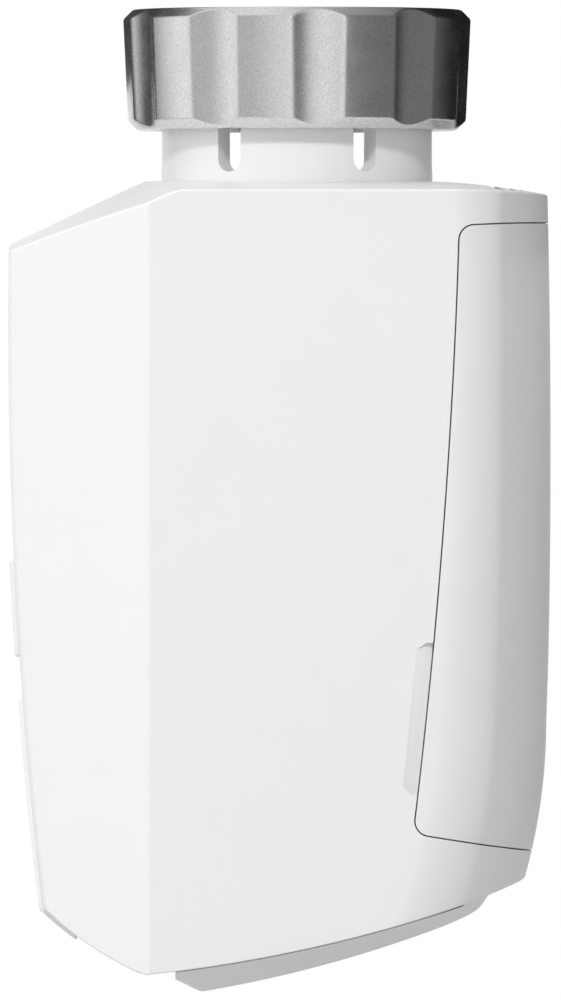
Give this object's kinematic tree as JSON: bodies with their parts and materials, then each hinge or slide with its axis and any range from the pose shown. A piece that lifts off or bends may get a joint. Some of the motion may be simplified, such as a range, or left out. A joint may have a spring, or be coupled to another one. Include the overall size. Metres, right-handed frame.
{
  "type": "radiator valve actuator head",
  "caption": "Motorised radiator valve actuator: faceted upright housing with a fluted union nut on a slotted collar, a gear-driven plunger, front keys, a display window and a battery cover.",
  "frame": {"origin": "on the valve axis, at the foot of the union nut's thread", "axes": "+Z along the valve axis towards the valve, -X towards the front with the keys and display, +X towards the battery cover, Y from side to side"},
  "size_m": [0.0565, 0.054, 0.1022],
  "materials": {
    "white_plastic": "fine satin moulding texture",
    "grey_plastic": "matt moulding",
    "natural_plastic": "plain acetal",
    "steel": "bright drawn",
    "contact_metal": "nickel plated",
    "nut_metal": "satin nickel plate over brass",
    "pinion_brass": "cut brass",
    "lens_plastic": "clear glossy window",
    "lcd_glass": "grey-green display",
    "light_guide": "milky",
    "board": "solder mask",
    "black_plastic": "moulded",
    "cell": "printed sleeve left plain"
  },
  "bodies": {
    "body": {"main_housing": "white_plastic", "end_cap": "white_plastic", "display_lens": "lens_plastic", "valve_collar": "white_plastic", "gearbox_lid": "grey_plastic", "gearbox_base": "grey_plastic", "motor_can": "steel", "axle_pins": "steel", "thrust_washer": "steel", "main_board": "board", "tact_switches": "black_plastic", "radio_module": "steel", "controller_chip": "black_plastic", "temperature_sensor": "black_plastic", "lcd_panel": "lcd_glass", "lcd_holder": "light_guide", "battery_tray": "grey_plastic", "cell_upper": "cell", "cell_lower": "cell", "contact_plates": "contact_metal", "coil_contacts": "contact_metal", "collar_screws": "steel", "flange_screws": "steel", "post_screws": "steel", "board_screws": "steel"},
    "nut": {"union_nut": "nut_metal"},
    "cover": {"battery_cover": "white_plastic"},
    "minus_key": {"key_minus": "white_plastic"},
    "mode_key": {"key_mode": "white_plastic"},
    "plus_key": {"key_plus": "white_plastic"},
    "rotor": {"motor_pinion": "pinion_brass"},
    "gear_a": {"compound_gear_a": "natural_plastic"},
    "gear_b": {"compound_gear_b": "natural_plastic"},
    "gear_out": {"output_gear": "natural_plastic"},
    "pusher": {"plunger": "natural_plastic", "plunger_tip": "steel"}
  },
  "joints": [
    {"name": "nut_spin", "type": "hinge", "parent": "body", "child": "nut", "pos_m": [0, 0, 0], "axis": [0, 0, 1], "continuous": true},
    {"name": "plunger_slide", "type": "slide", "parent": "body", "child": "pusher", "axis": [0, 0, 1], "range_m": [0, 0.004]},
    {"name": "motor_spin", "type": "hinge", "parent": "body", "child": "rotor", "pos_m": [-0.00316, 0.0044, -0.04], "axis": [0, 0, 1], "range_deg": [0, 36865]},
    {"name": "gear_a_spin", "type": "hinge", "parent": "body", "child": "gear_a", "pos_m": [-0.01182, 0.0094, -0.038], "axis": [0, 0, 1], "range_deg": [-9217, 0]},
    {"name": "gear_b_spin", "type": "hinge", "parent": "body", "child": "gear_b", "pos_m": [-0.0084, 0, -0.035], "axis": [0, 0, 1], "range_deg": [0, 2305]},
    {"name": "output_spin", "type": "hinge", "parent": "body", "child": "gear_out", "pos_m": [0, 0, -0.026], "axis": [0, 0, 1], "range_deg": [-721, 0]},
    {"name": "cover_pull", "type": "slide", "parent": "body", "child": "cover", "axis": [1, 0, 0], "range_m": [0, 0.03]},
    {"name": "minus_press", "type": "slide", "parent": "body", "child": "minus_key", "axis": [1, 0, 0], "range_m": [0, 0.0004], "stiffness_N_per_m": 400},
    {"name": "mode_press", "type": "slide", "parent": "body", "child": "mode_key", "axis": [1, 0, 0], "range_m": [0, 0.0004], "stiffness_N_per_m": 400},
    {"name": "plus_press", "type": "slide", "parent": "body", "child": "plus_key", "axis": [1, 0, 0], "range_m": [0, 0.0004], "stiffness_N_per_m": 400}
  ],
  "couplings": [
    {"joint": "motor_spin", "follows": "plunger_slide", "rad_per_m": 160850},
    {"joint": "gear_a_spin", "follows": "plunger_slide", "rad_per_m": -40212},
    {"joint": "gear_b_spin", "follows": "plunger_slide", "rad_per_m": 10053},
    {"joint": "output_spin", "follows": "plunger_slide", "rad_per_m": -3141.6}
  ]
}
